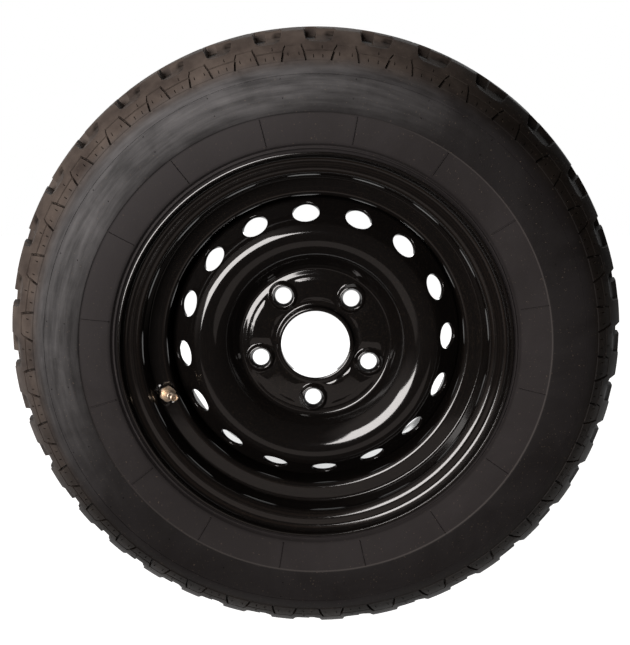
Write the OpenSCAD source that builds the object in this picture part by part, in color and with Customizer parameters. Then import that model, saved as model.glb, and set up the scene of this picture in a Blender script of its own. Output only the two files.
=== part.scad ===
// Trailer wheel: a 13 inch pressed steel rim and disc, a light truck tyre and a clamp-in valve.
// The axle lies along Y, the outer face looks towards -Y, and the origin is the middle of the rim.
// Sections are drawn as [radius, height], where height is the distance towards the outer face.

/* [Rim] */
// Diameter of the bead seats
rim_d = 329.4; // [320:0.1:340]
// Width between the two flanges
rim_w = 139.7; // [127:0.1:152.4]
// Thickness of the rim strip
rim_t = 2.5; // [2:0.1:3.2]
// Height of the flanges over the bead seats
flange_h = 17.3; // [16.5:0.1:18.5]
// Outer radius of the curled flange edge
curl_r = 9.5; // [8.5:0.1:10.5]
// Reach of the flange edge beyond the flange face
lip_w = 12.5; // [11.5:0.1:14]
// Depth of the well under the bead seats
well_depth = 19; // [17.3:0.1:21]
// Distance from the outer flange face to the hump
hump_in = 22.5; // [21:0.1:24]
// Rise of the two humps over the ends of the bead seats
hump_h = 0.8; // [0.4:0.1:1]
// Slope of the well's outer wall, from the axle
wall_slope = 84; // [78:1:85]
// Length of the flat floor of the well
well_w = 57; // [48:1:58]

/* [Disc] */
// Thickness of the disc
disc_t = 3.5; // [3:0.1:4]
// Offset of the hub face from the middle of the rim
hub_offset = 30; // [25:1:35]
// Diameter of the centre bore
bore_d = 66.6; // [63:0.1:70]
// Height of the bore's collar over the hub face
collar_h = 12; // [10.5:0.1:14]
// Diameter of the flat pad around the bolts
pad_d = 135; // [131:1:138]
// Diameter of the circle of bolts
bolt_pcd = 112; // [108:1:114]
// Diameter of a bolt hole
bolt_hole_d = 16; // [14:0.1:16.5]
// Number of bolts
bolt_count = 5; // [4:1:5]
// Height of the seats round the bolt holes
seat_h = 3; // [2:0.1:3.5]
// Radius of the circle where the flank's holes lie
vent_r = 127; // [125:0.5:129]
// Diameter of a hole in the flank
vent_d = 25; // [20:0.1:26.5]
// Number of holes in the flank
vent_count = 16; // [12:1:18]
// Radius of the crest's top
crest_r = 106; // [104:0.5:108]
// Height of the crest over the hub face
crest_h = 26.3; // [25:0.1:28]
// Slope of the flank, from the wheel's plane
flank_slope = 49; // [46:0.5:52]
// Number of weld beads between disc and rim
weld_count = 8; // [4:1:10]
// Length of a weld bead
weld_len = 28; // [15:1:40]

/* [Tyre] */
// Diameter over the tread
tyre_d = 589; // [580:1:600]
// Width over the sidewalls
tyre_w = 185; // [180:1:195]
// Width of the tread
tread_w = 132; // [126:1:138]
// Drop of the tread from its middle to its edges
tread_drop = 10.6; // [9:0.1:12]
// Depth of the tread's grooves
groove_d = 8.5; // [6:0.1:9.5]
// Width of the grooves round the tread
groove_w = 8; // [6:0.1:9]
// Distance of the inner pair of grooves from the middle of the tread
groove_in = 16; // [14:0.5:18]
// Distance of the outer pair of grooves from the middle of the tread
groove_out = 42; // [39:0.5:44]
// Thickness of rubber and belts from the tread to the inside
crown_t = 17; // [15:0.1:19]
// Thickness of the sidewall where it is widest
side_t = 8.5; // [7:0.1:10]
// Rise of the lettering band over the lower sidewall
band_h = 1; // [0.5:0.1:1.5]
// Depth of the lines round the shoulder plates
line_d = 1.2; // [0.8:0.1:1.6]
// Width of the lines round the shoulder plates
line_w = 1.5; // [1:0.1:2]

/* [Valve] */
// Tilt of the valve from the line of the axle
valve_tilt = 27; // [22:1:30]
// Diameter of the valve hole in the rim
valve_hole_d = 11.3; // [10.8:0.1:11.8]
// Diameter of the valve stem through the hole
stem_d = 8.2; // [7.8:0.1:8.6]
// Reach of the valve mouth from the rim
stem_len = 31; // [29:0.5:34]
// Diameter of the threaded valve mouth
mouth_d = 7.7; // [7.6:0.05:8]
// Width of the nut across its flats
nut_af = 14; // [13:0.5:14]
// Height of the nut
nut_h = 4; // [3.5:0.1:5]
// Travel of the core pin
pin_travel = 1.2; // [0.8:0.1:1.4]

/* [Hidden] */
$fn = 96;

// Gap left where one piece is pressed or bonded against another
seat_gap = 0.05;
// Running clearance of the core pin in its guide
pin_gap = 0.05;
// How far a cutting shape reaches past the surface that it cuts
past = 5;

// Turns of the patterns round the axle, as the wheel stands
bolt_turn = 123.7;
vent_turn = 94;
valve_turn = 198.2;
tread_turn = 13;

// Colours
rubber_black = [0.13, 0.13, 0.13];
paint_black = [0.05, 0.05, 0.05];
brass = [0.78, 0.6, 0.35];
seal_black = [0.1, 0.1, 0.1];
steel = [0.6, 0.6, 0.6];

// Rim section, on the middle of the strip
seat_taper = 5;
heel_r = 6.5;
rim_r = rim_d / 2;
flange_face = rim_w / 2;
flange_mid = flange_face + rim_t / 2;
flange_r = rim_r + flange_h;
edge_mid = flange_r - rim_t / 2;
seat_mid = rim_r - rim_t / 2;
hump_w = 4.5;
seat_end = flange_face - hump_in + hump_w;
seat_end_r = seat_mid - tan(seat_taper) * (flange_mid - seat_end);
hump_at = flange_face - hump_in;
hump_r = seat_end_r + hump_h;
well_mid = rim_r - well_depth - rim_t / 2;
well_top = hump_at - (hump_r - well_mid) / tan(wall_slope);
well_end = well_top - well_w;
ramp_slope = 30;
ramp_end = well_end - (hump_r - well_mid) / tan(ramp_slope);
rim_inner_r = well_mid - rim_t / 2;

rim_path = [
    [edge_mid, flange_face + lip_w],
    [edge_mid, flange_mid],
    [seat_mid, flange_mid],
    [seat_end_r, seat_end],
    [hump_r, hump_at],
    [well_mid, well_top],
    [well_mid, well_end],
    [hump_r, ramp_end],
    [seat_end_r, -seat_end],
    [seat_mid, -flange_mid],
    [edge_mid, -flange_mid],
    [edge_mid, -flange_face - lip_w]
];
edge_bend = curl_r - rim_t / 2;
heel_bend = heel_r + rim_t / 2;
seat_bend = 6;
hump_bend = 3;
well_bend = 4;
ramp_bend = 12;
back_bend = 8;
rim_bends = [0, edge_bend, heel_bend, seat_bend, hump_bend, well_bend, ramp_bend, back_bend, seat_bend,
             heel_bend, edge_bend, 0];

// Disc section, on the middle of the sheet
bore_mid = bore_d / 2 + disc_t / 2;
hub_mid = hub_offset + disc_t / 2;
pad_face = hub_offset + disc_t;
flank_foot_r = rim_inner_r - seat_gap - disc_t / 2;
groove_drop = 1.9;
dish_foot = [pad_d / 2 + 4.9, hub_mid - groove_drop];
crest_mid = hub_offset + crest_h - disc_t / 2;
dish_top = [crest_r - 14.3, crest_mid];
dish_slope = atan2(dish_top[1] - dish_foot[1], dish_top[0] - dish_foot[0]);
dish_bend = 29.25;
flank_bend = 19;
flank_top = dish_top + [dish_bend * tan(dish_slope / 2) + flank_bend * tan(flank_slope / 2) + 0.02, 0];
flank_foot = [flank_foot_r, crest_mid - (flank_foot_r - flank_top[0]) * tan(flank_slope)];
skirt_w = 21;
disc_end = flank_foot[1] - skirt_w;
disc_path = [
    [bore_mid, hub_offset + collar_h],
    [bore_mid, hub_mid],
    [pad_d / 2, hub_mid],
    dish_foot,
    dish_top,
    flank_top,
    flank_foot,
    [flank_foot_r, disc_end]
];
bore_bend = 4.5;
pad_bend = 5;
groove_bend = 5.5;
foot_bend = 12;
disc_bends = [0, bore_bend, pad_bend, groove_bend, dish_bend, flank_bend, foot_bend, 0];
vent_at = [vent_r, crest_mid - (vent_r - flank_top[0]) * tan(flank_slope)];
bolt_r = bolt_pcd / 2;

// Valve place: the middle of the well's outer wall, on a round seat pressed square to the valve
wall_a = bend_out(rim_path, rim_bends, 4);
wall_b = bend_in(rim_path, rim_bends, 5);
valve_at = (wall_a + wall_b) / 2;
valve_seat_r = nut_af / 2 / cos(30) + 0.5;

// Tyre section
tyre_r = tyre_d / 2;
half_w = tyre_w / 2;
half_tread = tread_w / 2;
shoulder_r = tyre_r - tread_drop;
wide_r = rim_r + 0.55 * (tyre_r - rim_r);
side_foot = [flange_r + 2, flange_face + curl_r + 1];
side_h = shoulder_r - flange_r;
band_foot_r = flange_r + 0.32 * side_h;
plate_lo = shoulder_r - 0.265 * side_h;
plate_step = shoulder_r - 0.177 * side_h;
plate_hi = shoulder_r - 0.137 * side_h;
plate_h = 0.6;

function tread_radius(h) = tyre_r - tread_drop * pow(abs(h) / half_tread, 2.2);
function upper_side(r) = half_w - (half_w - half_tread) * pow((r - wide_r) / (shoulder_r - wide_r), 2.3);
function lower_side(r) = half_w - (half_w - side_foot[1]) * pow((wide_r - r) / (wide_r - side_foot[0]), 2.2);

// Pitches of the tread: short, medium and long ones in the order that keeps the tyre quiet
pitch_order = "MMLLLMMSSSSMMMLLLMMSSSSMMMLLLMMSSMM";
pitch_size = [for (c = pitch_order) c == "S" ? 0.87 : c == "L" ? 1.15 : 1];
pitch_count = len(pitch_order);
pitch_sum = sum_to(pitch_size, pitch_count);
pitch_start = [for (i = [0 : pitch_count - 1]) tread_turn + 360 * sum_to(pitch_size, i) / pitch_sum];
pitch_angle = [for (s = pitch_size) 360 * s / pitch_sum];

function sum_to(v, n) = n <= 0 ? 0 : v[n - 1] + sum_to(v, n - 1);

// Bent sheet: a path of corners, each with the radius of its bend
function unit(v) = v / norm(v);
function across(v) = [-v[1], v[0]];
function leg(p, i) = unit(p[i + 1] - p[i]);
function turn_at(p, i) = atan2(cross(leg(p, i - 1), leg(p, i)), leg(p, i - 1) * leg(p, i));
function bend_len(p, r, i) = r[i] == 0 ? 0 : r[i] * tan(abs(turn_at(p, i)) / 2);
function bend_in(p, r, i) = r[i] == 0 ? p[i] : p[i] - leg(p, i - 1) * bend_len(p, r, i);
function bend_out(p, r, i) = r[i] == 0 ? p[i] : p[i] + leg(p, i) * bend_len(p, r, i);
function arc(centre, r, from, to, n) =
    [for (i = [0 : n]) centre + r * [cos(from + (to - from) * i / n), sin(from + (to - from) * i / n)]];
function mirrored(points) = [for (i = [len(points) - 1 : -1 : 0]) [points[i][0], -points[i][1]]];

// One face of the sheet: side is 1 on the left of the path and -1 on its right
function bend_arc(p, r, t, side, i) =
    let (turn = turn_at(p, i), normal = across(leg(p, i - 1)) * sign(turn))
    let (centre = bend_in(p, r, i) + normal * r[i], from = atan2(-normal[1], -normal[0]))
    arc(centre, r[i] - sign(turn) * side * t / 2, from, from + turn, ceil(abs(turn) / 10));
function sheet_side(p, r, t, side) = concat(
    [p[0] + across(leg(p, 0)) * side * t / 2],
    [for (i = [1 : len(p) - 2]) each bend_arc(p, r, t, side, i)],
    [p[len(p) - 1] + across(leg(p, len(p) - 2)) * side * t / 2]
);
function reversed(v) = [for (i = [len(v) - 1 : -1 : 0]) v[i]];

module sheet_section(p, r, t) polygon(concat(sheet_side(p, r, t, 1), reversed(sheet_side(p, r, t, -1))));

module on_axle() rotate([90, 0, 0]) children();

module around(count, turn) for (i = [0 : count - 1]) rotate([0, 0, turn + i * 360 / count]) children();

// Local frame on the valve's line, with z pointing out of the tyre
module on_valve() {
    on_axle() rotate([0, 0, valve_turn]) translate([valve_at[0], 0, valve_at[1]]) rotate([0, -valve_tilt, 0])
        children();
}

module rim() color(paint_black) {
    difference() {
        union() {
            difference() {
                on_axle() rotate_extrude($fn = 180) sheet_section(rim_path, rim_bends, rim_t);
                on_valve() cylinder(r = valve_seat_r, h = 5 * rim_t, center = true);
            }
            on_valve() cylinder(r = valve_seat_r + 1.4, h = rim_t, center = true);
        }
        on_valve() cylinder(d = valve_hole_d, h = 4 * rim_t, center = true);
    }
}

module bolt_boss() {
    translate([bolt_r, 0, pad_face - 0.5])
        cylinder(h = seat_h + 0.5, r1 = bolt_hole_d / 2 + 5.9, r2 = bolt_hole_d / 2 + 3.2);
}

module bolt_hole() {
    cone_r = bolt_hole_d / 2 + 2.4;
    cone_h = 2.4 / tan(30);
    translate([bolt_r, 0, hub_offset - past]) cylinder(d = bolt_hole_d, h = disc_t + seat_h + 2 * past);
    translate([bolt_r, 0, pad_face + seat_h - cone_h])
        cylinder(h = cone_h, r1 = bolt_hole_d / 2, r2 = cone_r);
    translate([bolt_r, 0, pad_face + seat_h]) cylinder(r = cone_r, h = past);
}

// Raised field of the pad between two bolts, and its hollow in the hub face
module pad_field(grow, foot, top) {
    span = 360 / bolt_count - 36;
    in_r = bore_mid + 8.5;
    out_r = pad_d / 2 - 3;
    rotate([0, 0, -span / 2]) rotate_extrude(angle = span, $fn = 180) polygon([
        [in_r - grow, foot],
        [in_r + 1.5 - grow, top],
        [out_r - 1.5 + grow, top],
        [out_r + grow, foot]
    ]);
}

module disc() color(paint_black) {
    field_turn = bolt_turn + 180 / bolt_count;
    field_h = 1.5;
    on_axle() difference() {
        union() {
            rotate_extrude($fn = 180) sheet_section(disc_path, disc_bends, disc_t);
            around(bolt_count, bolt_turn) bolt_boss();
            around(bolt_count, field_turn) pad_field(0, pad_face - 0.5, pad_face + field_h);
        }
        around(bolt_count, bolt_turn) bolt_hole();
        around(bolt_count, field_turn) pad_field(-1, hub_offset - 0.5, hub_offset + field_h);
        around(vent_count, vent_turn) translate([vent_at[0], 0, vent_at[1]]) rotate([0, flank_slope, 0])
            cylinder(d = vent_d, h = 6 * disc_t, center = true);
    }
}

module disc_welds() color(paint_black) {
    out_r = rim_inner_r - seat_gap;
    span = weld_len / out_r * 180 / PI;
    on_axle() around(weld_count, valve_turn + 180 / weld_count) rotate([0, 0, -span / 2])
        rotate_extrude(angle = span, $fn = 180)
            polygon([[out_r, disc_end], [out_r - disc_t, disc_end], [out_r, disc_end - disc_t - 1]]);
}

function groove(h) = [
    [tread_radius(h - groove_w / 2), h - groove_w / 2],
    [tread_radius(h) - groove_d, h - groove_w / 3],
    [tread_radius(h) - groove_d, h + groove_w / 3],
    [tread_radius(h + groove_w / 2), h + groove_w / 2]
];

// Half of the tyre's outside, from the tread down to the edge of the rim
tyre_outside = concat(
    groove(groove_in),
    groove(groove_out),
    [for (h = [half_tread - 12, half_tread - 2]) [tread_radius(h), h]],
    [for (r = [shoulder_r - 1.5, shoulder_r - 0.08 * side_h, plate_hi, plate_lo]) [r, upper_side(r)]],
    [[plate_lo - 1, upper_side(plate_lo - 1) - plate_h]],
    [[plate_lo - 0.11 * side_h, upper_side(plate_lo - 0.11 * side_h)]],
    [[wide_r, half_w]],
    [for (r = [wide_r - 0.1 * side_h, band_foot_r + 0.6]) [r, lower_side(r)]],
    [for (r = [band_foot_r, band_foot_r - 0.14 * side_h, flange_r + 0.07 * side_h])
        [r, lower_side(r) - band_h]],
    [[flange_r + 0.05 * side_h, side_foot[1] - 0.5], side_foot]
);

// Where the tyre sits on the rim: round the flange edge, down the flange, round the heel, to the toe
curl_centre = [flange_r - curl_r, flange_face + curl_r];
heel_centre = bend_in(rim_path, rim_bends, 2) - [0, heel_bend];
seat_line = unit([seat_end_r - seat_mid, seat_end - flange_mid]);
toe_h = seat_end + 2;
toe_r = seat_mid + (rim_t / 2 + seat_gap) / cos(seat_taper) - tan(seat_taper) * (flange_mid - toe_h);
tyre_seat = concat(
    arc(curl_centre, (curl_r + seat_gap) / cos(8), -26, -90, 4),
    arc(heel_centre, heel_r - seat_gap, 90, 90 + turn_at(rim_path, 2), 4),
    [[toe_r, toe_h]]
);

// Half of the tyre's inside, from the toe up to the crown
crown_r = tyre_r - crown_t;
tyre_inside = [
    [rim_r + 8, toe_h + 1.5],
    [flange_r + 2, flange_face - 3],
    [flange_r + 0.2 * side_h, lower_side(flange_r + 0.2 * side_h) - band_h - side_t - 1.5],
    [wide_r, half_w - side_t],
    [wide_r + 0.18 * side_h, upper_side(wide_r + 0.18 * side_h) - side_t - 1.5],
    [crown_r - 0.08 * side_h, half_tread + 2],
    [crown_r - 0.03 * side_h, 0.8 * half_tread],
    [crown_r - 0.8, 0.4 * half_tread]
];
tyre_half = concat(tyre_outside, tyre_seat, tyre_inside);

// Frame on the shoulder at a radius: x up the slope to the tread, y round the tyre, z out of the rubber
module on_slope(from, to, turn) {
    slope = atan2(from[1] - to[1], to[0] - from[0]);
    rotate([0, 0, turn]) translate([from[0], 0, from[1]]) rotate([0, slope, 0]) children();
}

function ribbon_side(p, d) = [
    for (i = [0 : len(p) - 1])
        let (a = across(leg(p, max(i - 1, 0))), b = across(leg(p, min(i, len(p) - 2))))
            p[i] + (a + b) * d / (1 + a * b)
];

module ribbon(p, w) polygon(concat(ribbon_side(p, w / 2), reversed(ribbon_side(p, -w / 2))));

plate_foot = [plate_lo, upper_side(plate_lo)];
plate_top = [plate_hi, upper_side(plate_hi)];
plate_rise = norm(plate_top - plate_foot);
step_rise = plate_rise * (plate_step - plate_lo) / (plate_hi - plate_lo);
step_at = plate_foot + (plate_top - plate_foot) * step_rise / plate_rise;
shoulder_at = [shoulder_r, half_tread];
lug_rise = norm(shoulder_at - step_at);

// Lines cut round the wide plate under a lug and along the top of the low plate under a gap
module plate_lines(i) {
    w = pitch_angle[i] * PI / 180 * plate_step;
    lug_mid = pitch_start[i] + pitch_angle[i] / 2;
    on_slope(plate_foot, plate_top, lug_mid) translate([0, 0, -line_d]) linear_extrude(past) ribbon([
        [-1, -0.25 * w],
        [step_rise, -0.21 * w],
        [plate_rise, -0.165 * w],
        [plate_rise, 0.165 * w],
        [step_rise, 0.21 * w],
        [-1, 0.25 * w]
    ], line_w);
    for (side = [-1, 1]) on_slope(plate_foot, plate_top, lug_mid) translate([0, 0, -2 * line_d])
        linear_extrude(past + 1)
            ribbon([[-1.4, side * 0.25 * w], [step_rise + 0.4, side * 0.21 * w]], 1.5 * line_w);
    on_slope(plate_foot, plate_top, pitch_start[i]) translate([0, 0, -line_d]) linear_extrude(past)
        ribbon([[step_rise, -0.29 * w], [step_rise, 0.29 * w]], line_w);
}

// Hollow between two lugs on the shoulder, deeper towards the tread
gap_foot_d = 1;
gap_tilt = 5.5;
module lug_gap(i) {
    w = pitch_angle[i] * PI / 180 * (shoulder_r - 8);
    reach = lug_rise + 4 * past;
    on_slope(step_at, shoulder_at, pitch_start[i]) translate([0, 0, -gap_foot_d]) rotate([0, gap_tilt, 0])
        linear_extrude(3 * past) polygon([
            [0, -0.31 * w],
            [0.3 * lug_rise, -0.25 * w],
            [0.7 * lug_rise, -0.25 * w],
            [reach, -0.29 * w],
            [reach, 0.29 * w],
            [0.7 * lug_rise, 0.25 * w],
            [0.3 * lug_rise, 0.25 * w],
            [0, 0.31 * w]
        ]);
}

// Cut through the shoulder rib, from the outer groove to the side
module lug_slot(i) {
    w = 0.22 * pitch_angle[i] * PI / 180 * shoulder_r;
    low_r = tread_radius(groove_out) - groove_d;
    rotate([0, 0, pitch_start[i] + 0.14 * pitch_angle[i]]) translate([low_r, -w / 2, groove_out])
        rotate([0, -10, 0]) cube([tyre_r - low_r + 2 * past, w, half_w - groove_out]);
}

// Slanting cut across the rib between the two pairs of grooves
module rib_slot(i) {
    w = 3;
    low_r = tyre_r - 8;
    rotate([0, 0, pitch_start[i] + 0.3 * pitch_angle[i]]) translate([low_r, 0, (groove_in + groove_out) / 2])
        rotate([25, 0, 0]) translate([0, -w / 2, -(groove_out - groove_in) / 2])
            cube([8 + past, w, groove_out - groove_in]);
}

// Fine slit across the middle rib
module rib_slit(i) {
    low_r = tyre_r - 6;
    rotate([0, 0, pitch_start[i] + 0.6 * pitch_angle[i]]) translate([low_r, 0, 0]) rotate([-30, 0, 0])
        translate([0, -0.6, -groove_in + 2]) cube([6 + past, 1.2, 2 * groove_in - 4]);
}

module side_pattern() for (i = [0 : pitch_count - 1]) {
    plate_lines(i);
    lug_gap(i);
    lug_slot(i);
    rib_slot(i);
}

module tyre() color(rubber_black) on_axle() difference() {
    rotate_extrude($fn = 360)
        polygon(concat([[tyre_r, 0]], tyre_half, [[crown_r, 0]], mirrored(tyre_half)));
    side_pattern();
    mirror([0, 0, 1]) side_pattern();
    for (i = [0 : pitch_count - 1]) rib_slit(i);
}

// Heights on the valve's line, from the middle of the rim's wall
grommet_h = 2.5;
foot_h = 2;
washer_h = 1.5;
foot_r = 6.2;
washer_r = 6.3;
wall_out = rim_t / 2 + seat_gap + 0.07;
grommet_low = -rim_t / 2 - seat_gap - grommet_h;
stem_low = grommet_low - foot_h;
washer_top = wall_out + washer_h;
nut_top = washer_top + nut_h;
stem_bore_r = 2.1;
core_bore_r = 2.65;
core_seat = stem_len - 9;
core_head = stem_len - 6.5;
core_top = stem_len - 1;
core_low = stem_len - 16.5;
barrel_r = 1.9;
chamber_r = 1.45;
neck_low = core_head + 1;
neck_top = core_head + 2.8;
chamber_low = core_low + 2.5;
pin_r = 0.6;
collar_low = stem_len - 4;
cup_h = 1.5;

module valve_stem() color(brass) on_valve() rotate_extrude() polygon([
    [stem_bore_r, stem_low],
    [foot_r, stem_low],
    [foot_r, stem_low + foot_h],
    [stem_d / 2, stem_low + foot_h],
    [stem_d / 2, stem_len - 12.5],
    [mouth_d / 2 - 0.7, stem_len - 11.5],
    [mouth_d / 2 - 0.7, stem_len - 10],
    [mouth_d / 2, stem_len - 9.3],
    [mouth_d / 2, stem_len - 0.7],
    [mouth_d / 2 - 0.7, stem_len],
    [core_bore_r + 0.2, stem_len],
    [core_bore_r, stem_len - 0.3],
    [core_bore_r, core_seat + 1],
    [stem_bore_r, core_seat]
]);

module valve_grommet() color(seal_black) on_valve() rotate_extrude() polygon([
    [stem_d / 2 + seat_gap, grommet_low],
    [foot_r - 0.2, grommet_low],
    [foot_r - 0.2, grommet_low + grommet_h],
    [valve_hole_d / 2 - seat_gap, grommet_low + grommet_h],
    [valve_hole_d / 2 - seat_gap, wall_out - 0.2],
    [stem_d / 2 + seat_gap, wall_out - 0.2]
]);

module valve_washer() color(steel) on_valve() translate([0, 0, wall_out]) difference() {
    cylinder(r = washer_r, h = washer_h);
    translate([0, 0, -past]) cylinder(d = stem_d + 2 * seat_gap, h = washer_h + 2 * past);
}

module valve_nut() color(brass) on_valve() translate([0, 0, washer_top]) difference() {
    union() {
        intersection() {
            cylinder(d = nut_af / cos(30), h = nut_h, $fn = 6);
            cylinder(r1 = nut_af / 2 + nut_h + 0.3, r2 = nut_af / 2 + 0.3, h = nut_h);
        }
        cylinder(r1 = stem_d / 2 + 2, r2 = stem_d / 2 + 1.4, h = nut_h + 1.5);
    }
    translate([0, 0, -past]) cylinder(d = stem_d + 2 * seat_gap, h = nut_h + 2 * past);
}

// Threaded head of the core, with two notches for a key, turning on the neck of the barrel
module core_plug() color(brass) on_valve() difference() {
    rotate_extrude() polygon([
        [barrel_r + seat_gap, core_head],
        [core_bore_r - seat_gap, core_head],
        [core_bore_r - seat_gap, core_top],
        [chamber_r, core_top],
        [chamber_r, neck_top + seat_gap],
        [barrel_r + seat_gap, neck_top + seat_gap],
        [barrel_r + seat_gap, neck_low + 0.6 + seat_gap],
        [barrel_r + 0.25 + seat_gap, neck_low + 0.6 + seat_gap],
        [barrel_r + 0.25 + seat_gap, neck_low - seat_gap],
        [barrel_r + seat_gap, neck_low - seat_gap]
    ]);
    for (side = [0, 180]) rotate([0, 0, side]) translate([chamber_r - 1, -0.9, core_top - 1.6])
        cube([past, 1.8, past]);
}

module core_barrel() color(brass) on_valve() rotate_extrude() polygon([
    [pin_r + pin_gap, core_low],
    [barrel_r, core_low],
    [barrel_r, neck_low],
    [barrel_r + 0.25, neck_low],
    [barrel_r + 0.25, neck_low + 0.6],
    [barrel_r, neck_low + 0.6],
    [barrel_r, neck_top],
    [chamber_r, neck_top],
    [chamber_r, chamber_low],
    [pin_r + pin_gap, chamber_low]
]);

module core_seal() color(seal_black) on_valve() rotate_extrude() polygon([
    [barrel_r + seat_gap, core_seat],
    [stem_bore_r - seat_gap, core_seat],
    [core_bore_r - seat_gap, core_seat + 1],
    [core_bore_r - seat_gap, core_head - seat_gap],
    [barrel_r + seat_gap, core_head - seat_gap]
]);

module core_pin() color(brass) on_valve() rotate_extrude() polygon([
    [0, core_low - cup_h - 0.6],
    [pin_r + 0.3, core_low - cup_h - 0.6],
    [pin_r + 0.3, core_low - cup_h - seat_gap],
    [pin_r, core_low - cup_h - seat_gap],
    [pin_r, collar_low],
    [pin_r + 0.6, collar_low],
    [pin_r + 0.6, collar_low + 1],
    [pin_r + 0.15, collar_low + 1.4],
    [pin_r + 0.15, stem_len - 0.5],
    [pin_r, stem_len - 0.3],
    [0, stem_len - 0.3]
]);

// Cup under the barrel, open towards it, and the ring of rubber in the cup
module core_cup() color(brass) on_valve() translate([0, 0, core_low - cup_h]) difference() {
    cylinder(r = barrel_r, h = cup_h - 0.4);
    translate([0, 0, 0.5]) cylinder(r = barrel_r - 0.3, h = cup_h);
    translate([0, 0, -past]) cylinder(r = pin_r + seat_gap, h = cup_h + 2 * past);
}

module core_cup_seal() color(seal_black) on_valve() translate([0, 0, core_low - cup_h + 0.5 + seat_gap])
    difference() {
        cylinder(r = barrel_r - 0.3 - seat_gap, h = cup_h - 0.5 - 2 * seat_gap);
        translate([0, 0, -past]) cylinder(r = pin_r + seat_gap, h = cup_h + 2 * past);
    }

// Coil of round wire, as rings of points along a helix
spring_wire = 0.3;
spring_turns = 7;
spring_r = (chamber_r + pin_r) / 2;
spring_low = chamber_low + spring_wire / 2 + 0.02;
spring_rise = collar_low - spring_wire / 2 - 0.02 - spring_low;
function ring_of_wire(a) = [
    for (k = [0 : 5])
        let (r = spring_r + spring_wire / 2 * cos(60 * k), climb = spring_rise * a / 360 / spring_turns)
            [r * cos(a), r * sin(a), spring_low + climb + spring_wire / 2 * sin(60 * k)]
];

module core_spring() color(steel) on_valve() {
    rings = spring_turns * 12;
    points = [for (i = [0 : rings]) each ring_of_wire(i * 30)];
    sides = [for (i = [0 : rings - 1], k = [0 : 5]) let (m = (k + 1) % 6)
        [i * 6 + k, i * 6 + m, (i + 1) * 6 + m, (i + 1) * 6 + k]];
    polyhedron(points, concat([[5, 4, 3, 2, 1, 0]], sides, [[for (k = [0 : 5]) rings * 6 + k]]));
}

tyre();
rim();
disc();
disc_welds();
valve_stem();
valve_grommet();
valve_washer();
valve_nut();
core_plug();
core_barrel();
core_seal();
core_spring();
core_pin();
core_cup();
core_cup_seal();
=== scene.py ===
import math

import bmesh
import bpy
import numpy as np
from mathutils import Matrix, Vector


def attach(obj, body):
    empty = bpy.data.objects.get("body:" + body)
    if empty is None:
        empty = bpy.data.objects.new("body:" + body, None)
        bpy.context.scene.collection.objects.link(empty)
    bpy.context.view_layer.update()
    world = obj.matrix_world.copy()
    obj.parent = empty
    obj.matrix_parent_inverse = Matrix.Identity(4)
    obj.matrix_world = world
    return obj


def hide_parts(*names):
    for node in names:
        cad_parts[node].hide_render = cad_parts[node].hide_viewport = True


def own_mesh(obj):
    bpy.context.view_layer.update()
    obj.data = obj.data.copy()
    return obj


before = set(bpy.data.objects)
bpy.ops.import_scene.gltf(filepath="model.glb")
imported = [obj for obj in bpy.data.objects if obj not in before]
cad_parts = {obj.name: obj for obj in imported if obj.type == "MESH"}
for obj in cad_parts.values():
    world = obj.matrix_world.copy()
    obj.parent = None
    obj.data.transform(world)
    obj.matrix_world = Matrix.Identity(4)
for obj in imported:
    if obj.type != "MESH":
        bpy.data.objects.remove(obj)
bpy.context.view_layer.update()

# Sizes repeat part.scad, in millimetres and degrees. A section's points are (radius, height), with heights
# towards the outer face. Turns go round the axle.
MM = 0.001

# Rim. CURL_R and HEEL_R are radii of the face towards the tyre, the other bends are those of the middle line.
RIM_D, RIM_W, RIM_T = 329.4, 139.7, 2.5
FLANGE_H, CURL_R, LIP_W = 17.3, 9.5, 12.5
HEEL_R, SEAT_TAPER = 6.5, 5
HUMP_IN, HUMP_W, HUMP_H, HUMP_FOOT_BEND, HUMP_BEND = 22.5, 4.5, 0.8, 6, 3
WELL_DEPTH, WELL_W, WALL_SLOPE, WALL_BEND = 19, 57, 84, 4
RAMP_SLOPE, RAMP_BENDS = 30, (12, 8)

# Disc. Its crest lies 2 mm further out than in part.scad, where the reflections ask for it.
DISC_T, HUB_OFFSET, PAD_D, PAD_BEND = 3.5, 30, 135, 5
BORE_D, COLLAR_H, COLLAR_BEND = 66.6, 12, 4.5
BOLT_PCD, BOLT_HOLE_D, BOLT_COUNT = 112, 16, 5
SEAT_H, CONE_W, CONE_ANGLE, BOSS_R, BOSS_FALL = 3, 2.4, 30, 14.6, 3.6
FIELD_IN, FIELD_OUT, FIELD_SPAN, FIELD_TAPER, FIELD_EDGE, FIELD_H = 43.8, 63.6, 38, 0.4, 4.2, 0.8
GROOVE_DROP, GROOVE_BEND, DISH_SLOPE = 1.9, 5.5, 52
CREST_R, CREST_H, CREST_IN_BEND, CREST_OUT_BEND = 108, 22.8, 29.25, 14.5
VENT_R, VENT_D, VENT_COUNT = 127, 25, 16
FLANK_SLOPE, SKIRT_W, SKIRT_BEND = 49, 21, 12
EDGE_R = 0.6

# Tyre.
TYRE_D, TYRE_W, TREAD_W, TREAD_DROP = 589, 185, 132, 10.6
GROOVE_D, GROOVE_W, GROOVE_WALL, GROOVE_IN, GROOVE_OUT = 8.5, 8, 1.33, 16, 42
CROWN_T, SIDE_T, BAND_H = 17, 8.5, 1
WIDE_AT, RING_AT, FOOT_OUT, FOOT_UP, TOE_IN = 0.55, 0.32, 2, 1, 2
SEAT_GAP = 0.05

# Valve, and where the things that repeat round the axle start.
VALVE_HOLE_D, VALVE_TILT, NUT_AF, PIN_TRAVEL = 11.3, 27, 14, 1.24
BOLT_TURN, VENT_TURN, VALVE_TURN, TREAD_TURN, MARK_TURN = 123.7, 94, 198.2, 13, 13

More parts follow.
